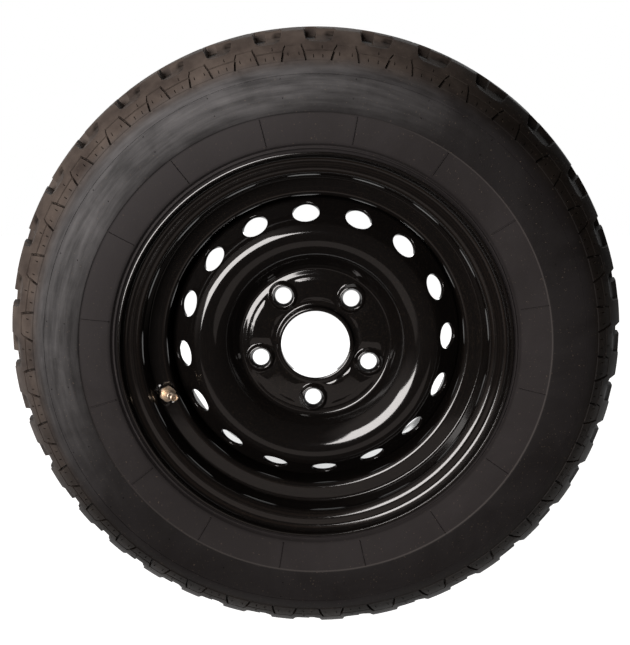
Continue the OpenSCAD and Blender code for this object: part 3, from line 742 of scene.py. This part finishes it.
# The pattern of one pitch is drawn flat, in millimetres: x goes round the tyre from the middle of a gap
# between two lugs, y runs from the tread over the shoulder's edge (0) and down the side.
PITCH = 51
PITCH_ORDER = "MMLLLMMSSSSMMMLLLMMSSSSMMMLLLMMSSMM"
PITCH_SIZES = {"S": 0.87, "M": 1, "L": 1.15}
PITCH_COLUMNS = [-0.5, -0.44, -0.3, -0.15, 0, 0.15, 0.3, 0.44, 0.5]
SHOULDER_ROWS = [-50, -48, -47.33, -46, -37, -28, -26.67, -26, -21.33, -20, -14, -8, -3.5, 0, 1.2, 4, 6.6, 8.4, 11.5,
                 16.4, 21.6, 27, 27.5, 31, 34.6, 38.1, 38.5, 38.7, 39.1, 39.3, 41]
MIDDLE_ROWS = [-16, -13.33, -12, -6, 0, 6, 12, 13.33, 16]

# The smooth outside: exponents of the tread's crown and of the side above and below its widest place.
CROWN_BEND, UPPER_BEND, LOWER_BEND = 2.2, 2.3, 2.2

# Cuts go straight down in the tread, this way (radius, height) at the shoulder's edge and square to the side
# below it, and turn over these lengths before and after the edge.
EDGE_WAY, TURN_BEFORE, TURN_AFTER = (-0.85, -0.53), 20, 12

# Depths along y of the gap at the shoulder and of the slot beside it, and of the plates' border on the side.
GAP_DEPTHS = [(-7, 0), (0, 4.5), (4, 3.3), (8.4, 1.9), (10.5, 0.8), (11.5, 0)]
SLOT_DEPTHS = [(-30, 8.5), (-12, 8.3), (0, 7.4), (6.6, 4.5)]
PLATE_DEPTHS = [(27, 0), (27.5, 0.6), (38.1, 0), (38.5, 0), (38.7, 0.4), (39.1, 0.4), (39.3, 0)]

# Width, depth and wall of the narrow cuts, and the cuts as (pitches, y) to (pitches, y). NOTCH has no width.
SLIT, PLATE_LINE, PLATE_STEP, DIMPLE = (0.8, 4, 0.3), (1.3, 1.2, 0.4), (2.2, 2.4, 0.5), (1.0, 0.8, 0.3)
MIDDLE_SLIT, MIDDLE_SLANT, MIDDLE_REACH = (1.2, 6, 0.35), 30, 12
GAP_WALL, SLOT_WALL, NOTCH, GROOVE_OVER = 1.6, 0.9, (8, 0.8), 9
SHOULDER_LINES = [
    (-0.25, -19.8, -0.25, -8.4, SLIT),
    (-0.28, 18.9, 0.28, 18.9, PLATE_LINE),
    (-0.28, 18.9, -0.335, 13.9, PLATE_LINE),
    (0.335, 13.9, 0.6, 13.9, PLATE_LINE),
    (-0.6, 13.9, -0.335, 13.9, PLATE_LINE),
    (0.33, 14, 0.29, 19, PLATE_STEP),
    (0.29, 19, 0.25, 26.4, PLATE_STEP),
    (-0.29, 19.4, -0.25, 26.4, PLATE_STEP),
]
DIMPLES, DIMPLE_REACH = [(-0.387, 21.4), (0.387, 21.4), (-0.09, 23.9), (0.09, 23.9), (-0.075, 15.9)], 1.1

# Radii of the side's rows above and below its ring, for the outer and the inner side, and the bead's points.
ABOVE_RING = [240.6, 238.2, 236.1, 233, 229.8, 226.6, 223.4, 220.2, 217.6, 216], [237, 230, 222, 216.4]
BELOW_RING = [213, 210.5, 207.5, 204, 200.5, 197, 194, 191.6, 190], [210, 203, 196, 190.4]
BEAD_ROWS = [(189.3, 81.55), (188.9, 81.25), (188.6, 80.8), (188.0, 78.6), (187.2, 77.7), (186.5, 78.1), (186.1, 79.2),
             (185.7, 79.55), (185.2, 79.4), (184.8, 78.7), (184.2, 76.9), (183.2, 76.2)]
BEAD_GAP = SEAT_GAP + 0.1

tyre_r, half_w, half_tread = TYRE_D / 2, TYRE_W / 2, TREAD_W / 2
shoulder_r = tyre_r - TREAD_DROP
wide_r = rim_r + WIDE_AT * (tyre_r - rim_r)
foot_r, foot_h = flange_r + FOOT_OUT, flange_face + CURL_R + FOOT_UP
side_h = shoulder_r - flange_r
ring_r = flange_r + RING_AT * side_h
toe_h = flange_face - HUMP_IN + HUMP_W + TOE_IN
pitch_sizes = np.array([PITCH_SIZES[c] for c in PITCH_ORDER])
pitch_angles = 2 * np.pi * pitch_sizes / pitch_sizes.sum()
pitch_starts = math.radians(TREAD_TURN) + np.concatenate([[0], np.cumsum(pitch_angles)[:-1]])


def side_height(r):
    above, below = np.maximum(r - wide_r, 0) / (shoulder_r - wide_r), np.maximum(wide_r - r, 0) / (wide_r - foot_r)
    return half_w - (half_w - half_tread) * above ** UPPER_BEND - (half_w - foot_h) * below ** LOWER_BEND


def outside(y):
    """Radius and height of the tyre's smooth outside at y of the pattern."""
    h = half_tread + np.minimum(y, 0)
    tread_r = tyre_r - TREAD_DROP * (np.abs(h) / half_tread) ** CROWN_BEND
    r = np.where(y < 0, tread_r, shoulder_r - y)
    return r, np.where(y < 0, h, side_height(np.minimum(r, shoulder_r)))


def into_rubber(y):
    """Direction (radius, height) in which the pattern is cut at y."""
    step = 0.05
    r0, h0 = outside(np.maximum(y, TURN_AFTER) - step)
    r1, h1 = outside(np.maximum(y, TURN_AFTER) + step)
    side = unit(np.stack([h1 - h0, r0 - r1], -1))
    side = np.where(side[..., 1:] > 0, -side, side)
    edge = np.array(EDGE_WAY)
    down = np.array([-1.0, 0.0])
    a = smooth((y + TURN_BEFORE) / TURN_BEFORE)[..., None]
    b = smooth(y / TURN_AFTER)[..., None]
    return unit(np.where(y[..., None] < 0, down + (edge - down) * a, edge + (side - edge) * b))


def pitch_turn(i, u):
    """Turn of the place u pitches on from the start of pitch i."""
    k = i + np.floor(u).astype(int)
    rounds, k = np.divmod(k, len(pitch_starts))
    return pitch_starts[k] + 2 * np.pi * rounds + (u - np.floor(u)) * pitch_angles[k]


class Cut:
    """A hollow with straight walls: a convex outline, a depth (or depths along y) and the walls' width."""

    def __init__(self, outline, depth, wall):
        outline = np.array(outline, float)
        area = np.cross(outline, np.roll(outline, -1, 0)).sum()
        self.outline = outline if area > 0 else outline[::-1]
        self.profile = depth if isinstance(depth, list) else [(-1e3, depth), (1e3, depth)]
        self.wall = wall
        self.inward = unit(left(np.roll(self.outline, -1, 0) - self.outline))

    def depth(self, points):
        inside = np.min([(points - a) @ n for a, n in zip(self.outline, self.inward)], axis=0)
        return np.interp(points[:, 1], *zip(*self.profile)) * np.clip(inside / self.wall, 0, 1)

    def lines(self):
        """Segments where the surface changes its slope."""
        low, high = self.outline.min(0), self.outline.max(0)
        for a, b, n in zip(self.outline, np.roll(self.outline, -1, 0), self.inward):
            yield a, b
            yield a + n * self.wall, b + n * self.wall
        for y, _ in self.profile:
            if low[1] + 0.1 < y < high[1] - 0.1:
                yield np.array([low[0], y]), np.array([high[0], y])


def bar(a, b, width, depth, wall):
    """A cut along a segment, running on past both ends by half its width."""
    a, b = np.array(a, float), np.array(b, float)
    way = unit(b - a)
    side = left(way) * width / 2
    a, b = a - way * width / 2, b + way * width / 2
    return Cut([a - side, b - side, b + side, a + side], depth, wall)


def length_within(corners, a, way, length):
    """Length of a segment inside a convex outline."""
    low, high = 0.0, length
    after = np.roll(corners, -1, 0)
    inward = left(after - corners) * np.sign(np.cross(corners, after).sum())
    for rate, level in zip(inward @ way, ((a - corners) * inward).sum(-1)):
        if rate > 1e-9:
            low = max(low, -level / rate)
        elif rate < -1e-9:
            high = min(high, -level / rate)
        elif level < 0:
            return 0.0
    return high - low


def slice_near(bm, a, b, near_line=0.02, shortest=0.04):
    """Cut the faces that a segment crosses."""
    length = np.hypot(*(b - a))
    way = (b - a) / length
    side = left(way)
    near = []
    for face in bm.faces:
        corners = np.array([v.co[:2] for v in face.verts])
        across = (corners - a) @ side
        crossed = across.min() < -near_line and across.max() > near_line
        if crossed and length_within(corners, a, way, length) > shortest:
            near.append(face)
    edges = sorted({e for f in near for e in f.edges}, key=lambda e: e.index)
    verts = sorted({v for f in near for v in f.verts}, key=lambda v: v.index)
    bmesh.ops.bisect_plane(bm, geom=near + edges + verts, dist=near_line, plane_co=(*a, 0), plane_no=(*side, 0))
    for part in (bm.verts, bm.edges, bm.faces):
        part.index_update()


def flat_pattern(columns, rows, cuts):
    """Triangles of one pitch, cut along the edges of its hollows. Returns points (x, y) and triangles."""
    bm = bmesh.new()
    grid = [[bm.verts.new((x * PITCH, y, 0)) for x in columns] for y in rows]
    for a, b in zip(grid, grid[1:]):
        for j in range(len(columns) - 1):
            bm.faces.new((a[j], a[j + 1], b[j + 1], b[j]))
    for hollow in cuts:
        for a, b in hollow.lines():
            slice_near(bm, a, b)
    bmesh.ops.triangulate(bm, faces=bm.faces[:], quad_method="BEAUTY", ngon_method="BEAUTY")
    bm.verts.index_update()
    points = np.round([v.co[:2] for v in bm.verts], 5)
    triangles = np.array([[v.index for v in f.verts] for f in bm.faces])
    bm.free()
    return points, triangles


def groove(middle, far):
    """A groove round the tyre, at a height over the tyre's middle."""
    low, high = middle - GROOVE_W / 2 - half_tread, middle + GROOVE_W / 2 - half_tread
    return Cut([(-far, low), (far, low), (far, high), (-far, high)], GROOVE_D, GROOVE_WALL)


def shoulder_cuts():
    """Hollows of a pitch at the shoulder: grooves, the gap and slot at its edge, slits and the plates' lines."""
    p = PITCH
    far = p / 2 + GROOVE_OVER
    gap = [(-0.30 * p, -7), (0.30 * p, -7), (0.29 * p, 0), (0.25 * p, 8.4), (7, 11.5),
           (-7, 11.5), (-0.25 * p, 8.4), (-0.29 * p, 0)]
    slot = [(0.04 * p, -24), (0.26 * p, -24), (0.26 * p, 6.6), (0.04 * p, 6.6)]
    notch = [(0.285 * p + x, y) for x, y in ((-6.6, -47.6), (-3.3, -47.6), (6.6, -26), (3.3, -26))]
    cuts = [groove(GROOVE_OUT, far), groove(GROOVE_IN, far),
            Cut(gap, GAP_DEPTHS, GAP_WALL), Cut(slot, SLOT_DEPTHS, SLOT_WALL), Cut(notch, *NOTCH)]
    cuts += [bar((u * p, y), (v * p, z), *kind) for u, y, v, z, kind in SHOULDER_LINES]
    return cuts + [bar((u * p, y - DIMPLE_REACH), (u * p, y + DIMPLE_REACH), *DIMPLE) for u, y in DIMPLES]


def middle_cuts():
    way = unit([tan(MIDDLE_SLANT), 1])
    mid, run = np.array([0.6 * PITCH, -half_tread]), way * MIDDLE_REACH / way[1]
    return [bar(mid - run, mid + run, *MIDDLE_SLIT)] + [groove(at, 2 * PITCH) for at in (-GROOVE_IN, GROOVE_IN)]


def pitch_points(points, cuts, mirror=False):
    """The pattern laid on the tyre for all pitches: a block of points for each."""
    y = points[:, 1]
    r, h = outside(y)
    way = into_rubber(y)
    depth = np.max([hollow.depth(points) for hollow in cuts], axis=0)
    depth = np.maximum(depth, np.interp(y, *zip(*PLATE_DEPTHS)))
    r, h = r + way[:, 0] * depth, h + way[:, 1] * depth
    turns = np.array([pitch_turn(i, points[:, 0] / PITCH) for i in range(len(pitch_starts))])
    return place(r[None, :], (-h if mirror else h)[None, :], turns)


def side_rows(upper, lower):
    """Section of the side from the pattern down to the rim, as (radius, height)."""
    edge, low = ring_r + 0.45, ring_r - 0.25
    rows = [(r, side_height(r)) for r in upper]
    rows += [(edge + 0.3, side_height(edge + 0.3)), (edge, side_height(edge) - 0.06),
             (edge - 0.18, side_height(edge) - 0.24), (low, side_height(low) - 0.85),
             (low - 0.25, side_height(low - 0.25) - BAND_H)]
    return rows + [(r, side_height(r) - BAND_H) for r in lower] + BEAD_ROWS


def seat_rows():
    """Where the tyre sits on the rim, from the flange's edge to the toe."""
    curl = np.array([flange_r - CURL_R, flange_face + CURL_R])
    heel = bend_end(rim_path, rim_bends, 2, -1) - np.array([0, HEEL_R + RIM_T / 2])
    turn = turn_at(rim_path, 2)
    toe_r = seat_mid + (RIM_T / 2 + SEAT_GAP) / cos(SEAT_TAPER) - tan(SEAT_TAPER) * (flange_mid - toe_h)
    out = [curl + (CURL_R + BEAD_GAP) * ray(k) for k in (-26, -58, -90)]
    out += [heel + (HEEL_R - BEAD_GAP) * ray(90 + turn * k / 2) for k in range(3)]
    return [tuple(v) for v in out] + [(toe_r + 0.1, toe_h)]


def inside_rows():
    """Inside of the casing, from the toe to the crown."""
    crown_r = tyre_r - CROWN_T
    low_r, up_r = flange_r + 0.2 * side_h, wide_r + 0.18 * side_h
    return [(rim_r + 8, toe_h + 1.5), (low_r, side_height(low_r) - BAND_H - SIDE_T - 1.5), (wide_r, half_w - SIDE_T),
            (up_r, side_height(up_r) - SIDE_T - 1.5), (crown_r - 0.08 * side_h, half_tread + 2)]


def make_tyre():
    count = len(pitch_starts)
    blocks, faces, total = [], [], 0

    def add(laid, triangles, flip):
        nonlocal total
        laid = laid.reshape(count, -1, 3)
        for i in range(count):
            faces.append((triangles[:, ::-1] if flip else triangles) + total + i * laid.shape[1])
        blocks.append(laid.reshape(-1, 3))
        total += count * laid.shape[1]

    cuts = shoulder_cuts()
    points, triangles = flat_pattern(PITCH_COLUMNS, SHOULDER_ROWS, cuts)
    add(pitch_points(points, cuts), triangles, True)
    add(pitch_points(points, cuts, mirror=True), triangles, False)
    cuts = middle_cuts()
    columns = PITCH_COLUMNS[5:] + [u + 1 for u in PITCH_COLUMNS[1:6]]
    points, triangles = flat_pattern(columns, np.array(MIDDLE_ROWS) - half_tread, cuts)
    add(pitch_points(points, cuts), triangles, True)

    start = [tuple(outside(SHOULDER_ROWS[-1]))]
    front, back = (start + side_rows(*rows) + seat_rows() + inside_rows() for rows in zip(ABOVE_RING, BELOW_RING))
    loop = np.array(front + [(tyre_r - CROWN_T, 0.0)] + [(r, -h) for r, h in back[::-1]])
    u = np.array(sorted(v % 1 for v in PITCH_COLUMNS[:-1]))
    turns = np.concatenate([pitch_turn(i, u) for i in range(count)])
    blocks.append(revolve(loop, turns).reshape(-1, 3))
    quads = grid_faces(len(loop), len(turns)) + total
    faces += [quads[:, [2, 1, 0]], quads[:, [3, 2, 0]]]

    # Points of neighbouring blocks that meet become one, and triangles without a width go.
    every = np.concatenate(blocks)
    _, first, same = np.unique(np.round(every / MM, 4), axis=0, return_index=True, return_inverse=True)
    faces = same.reshape(-1)[np.concatenate(faces)]
    faces = faces[np.all(faces != np.roll(faces, -1, 1), axis=1)]
    return make("tyre_rubber", every[first], faces.tolist(), tyre_rubber, sharp=38)


tyre = make_tyre()
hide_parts("tyre")

# Mould lines: count, ends (radii) and section (across, rise). Pips: count, first turn, radii and section
# (radius, rise).
LINE_COUNT, LINE_ENDS, LINE_SECTION = 16, (190.5, 213.6), ((-0.55, -0.7), (-0.3, 0.42), (0.3, 0.42), (0.55, -0.7))
PIP_COUNT, PIP_TURN, PIP_AT, PIP_SECTION = 24, 7, (227.5, 243.0), ((0.75, -0.6), (0.7, 0.35), (0.35, 0.75))


def make_marks():
    """Fine raised lines left by the mould's joints and the small pips of its vents, sunk into the tyre's side."""
    shell = Shell()

    def add(rows):
        ids = [shell.add(row) for row in rows]
        shell.join_all(ids)
        shell.faces += [list(ids[0][::-1]), list(ids[-1])]

    r = np.linspace(*LINE_ENDS, 12)[:, None]
    across, rise = np.array(LINE_SECTION).T[:, None, :]
    for k in range(LINE_COUNT):
        turn = math.radians(MARK_TURN + 360 / LINE_COUNT * k)
        add(place(r + 0 * across, side_height(r) + rise, turn + across / r))
    ring = np.arange(6) * np.pi / 3
    size, rise = np.array(PIP_SECTION).T[:, :, None]
    for k in range(PIP_COUNT):
        turn = math.radians(PIP_TURN + 360 / PIP_COUNT * k)
        for r in PIP_AT:
            add(place(r + size * np.cos(ring), side_height(r) + rise + 0 * ring, turn + size * np.sin(ring) / r))
    return make("tyre_marks", np.concatenate(shell.points), shell.faces, tyre_rubber, sharp=30)


make_marks()


# ---------- valve and welds

def finish(material, *nodes):
    for node in nodes:
        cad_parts[node].data.materials[0] = material


finish(paint, "disc_welds")
finish(valve_brass, "valve_stem", "valve_nut", "core_plug", "core_barrel", "core_pin", "core_cup")
finish(seal, "valve_grommet", "core_seal", "core_cup_seal")
finish(steel, "valve_washer")


def make_spring():
    """The coil round the valve's pin, which on the valve shortens towards its foot as the pin goes in, as a steel copy
    of the part's mesh.
    """
    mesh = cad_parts["core_spring"].data.copy()
    mesh.materials.clear()
    mesh.materials.append(steel)
    spring = add_object("spring_coil", mesh)
    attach(spring, "wheel")
    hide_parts("core_spring")
    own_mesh(spring)


make_spring()


# ---------- stage, light and camera

# In metres. The world's glow comes from the upper left, within these cosines, and its white backdrop starts
# between these. The floor's gap is the air under the tyre.
GLOW_WAY, GLOW_SPAN, GLOW_LEVELS = (-0.70, -0.55, 0.46), (0.72, 0.98), (0.12, 1.5)
ROOM_COLOUR, BACKDROP = (0.30, 0.265, 0.25), (0.4, 0.7)
FLOOR_SIDE, FLOOR_FRONT, FLOOR_BACK, FLOOR_GAP = 3, -0.12, 4, 0.0005

# The photo's camera: angles, distance, aim, and the focal length and the photo's height in pixels.
AZIMUTH, ELEVATION, DISTANCE, AIM = 0.2, 12.35, 0.75, (-0.0006, 0, 0.0128)
FOCAL_PX, HEIGHT_PX, SENSOR, CLIP_START = 733, 645, 36, 0.05

# Lamps: name, place, aim, size, brightness, colour and the way the long side runs.
LAMPS = [
    ("key", (-1.176, -2.70, 0.566), (0, 0, 0), (1.75, 1.4), 16.5, (1, 0.955, 0.935), (cos(42), 0, sin(42))),
    ("low_front", (0, -0.62, -0.34), (0, 0, 0.05), (0.9, 0.26), 0.38, (1, 0.87, 0.81), (1, 0, 0)),
    ("rear", (0, 1.3, 0.26), (0, 0, -0.12), (0.96, 0.4), 4.2, (1, 1, 1), (1, 0, 0)),
]


def make_floor():
    """A floor under the wheel that starts behind its outer face. It is white where the camera looks."""
    n = Finish("floor_white")
    path = n.add("ShaderNodeLightPath").outputs
    seen = n.math("MAXIMUM", path["Is Camera Ray"], path["Is Glossy Ray"])
    seen = n.math("MAXIMUM", seen, path["Is Transmission Ray"])
    x, _, z = n.split()
    n.set(Base_Color=(0.55, 0.55, 0.55), Roughness=0.9, Emission_Color=(1, 1, 1))
    n.set(Emission_Strength=n.times(seen, n.span(n.from_axle(x, z), 0.5, 1.3, 0.95, 1.0)))
    mesh = bpy.data.meshes.new("floor")
    low = -TYRE_D / 2 * MM - FLOOR_GAP
    corners = [(x, y, low) for y in (FLOOR_FRONT, FLOOR_BACK) for x in (-FLOOR_SIDE, FLOOR_SIDE)]
    mesh.from_pydata(corners, [], [(0, 1, 3, 2)])
    mesh.materials.append(n.material)
    floor = add_object("floor", mesh)


def area_light(name, at, towards, size, level, colour, along):
    light = bpy.data.lights.new(name, "AREA")
    light.shape = "RECTANGLE"
    light.size, light.size_y = size
    light.energy = level * math.pi * size[0] * size[1]
    light.color = colour
    lamp = add_object(name, light)
    lamp.location = at
    back = (Vector(at) - Vector(towards)).normalized()
    side = (Vector(along) - back * back.dot(Vector(along))).normalized()
    lamp.rotation_euler = Matrix((side, back.cross(side), back)).transposed().to_euler()


def set_world():
    """White where the camera looks and behind the wheel, a dim studio in front with a glow to the upper left."""
    world = bpy.data.worlds.new("studio")
    bpy.context.scene.world = world
    n = Graph(world, "Generated")
    towards = n.add("ShaderNodeVectorMath", {0: n.place, 1: GLOW_WAY}, operation="DOT_PRODUCT").outputs["Value"]
    glow = n.span(towards, *GLOW_SPAN, *GLOW_LEVELS, smooth=True)
    room = n.add("ShaderNodeBackground", {"Color": ROOM_COLOUR, "Strength": glow})
    white = n.add("ShaderNodeBackground", {"Color": (1, 1, 1)})
    path = n.add("ShaderNodeLightPath").outputs
    shiny = n.math("MAXIMUM", path["Is Glossy Ray"], path["Is Transmission Ray"])
    backed = n.times(shiny, n.span(n.split()[1], *BACKDROP))
    bright = n.math("MAXIMUM", path["Is Camera Ray"], backed)
    mix = n.add("ShaderNodeMixShader", {0: bright, 1: room.outputs[0], 2: white.outputs[0]})
    n.put(n.tree.nodes["World Output"].inputs[0], mix.outputs[0])


def set_camera():
    way = Vector((sin(AZIMUTH) * cos(ELEVATION), -cos(AZIMUTH) * cos(ELEVATION), sin(ELEVATION)))
    data = bpy.data.cameras.new("camera")
    data.sensor_width = SENSOR
    data.lens = FOCAL_PX * SENSOR / HEIGHT_PX
    data.clip_start = CLIP_START
    camera = add_object("camera", data)
    camera.location = Vector(AIM) + way * DISTANCE
    camera.rotation_euler = (-way).to_track_quat("-Z", "Y").to_euler()
    bpy.context.scene.camera = camera


make_floor()
set_world()
set_camera()
for lamp in LAMPS:
    area_light(*lamp)
bpy.context.scene.view_settings.view_transform = "Standard"
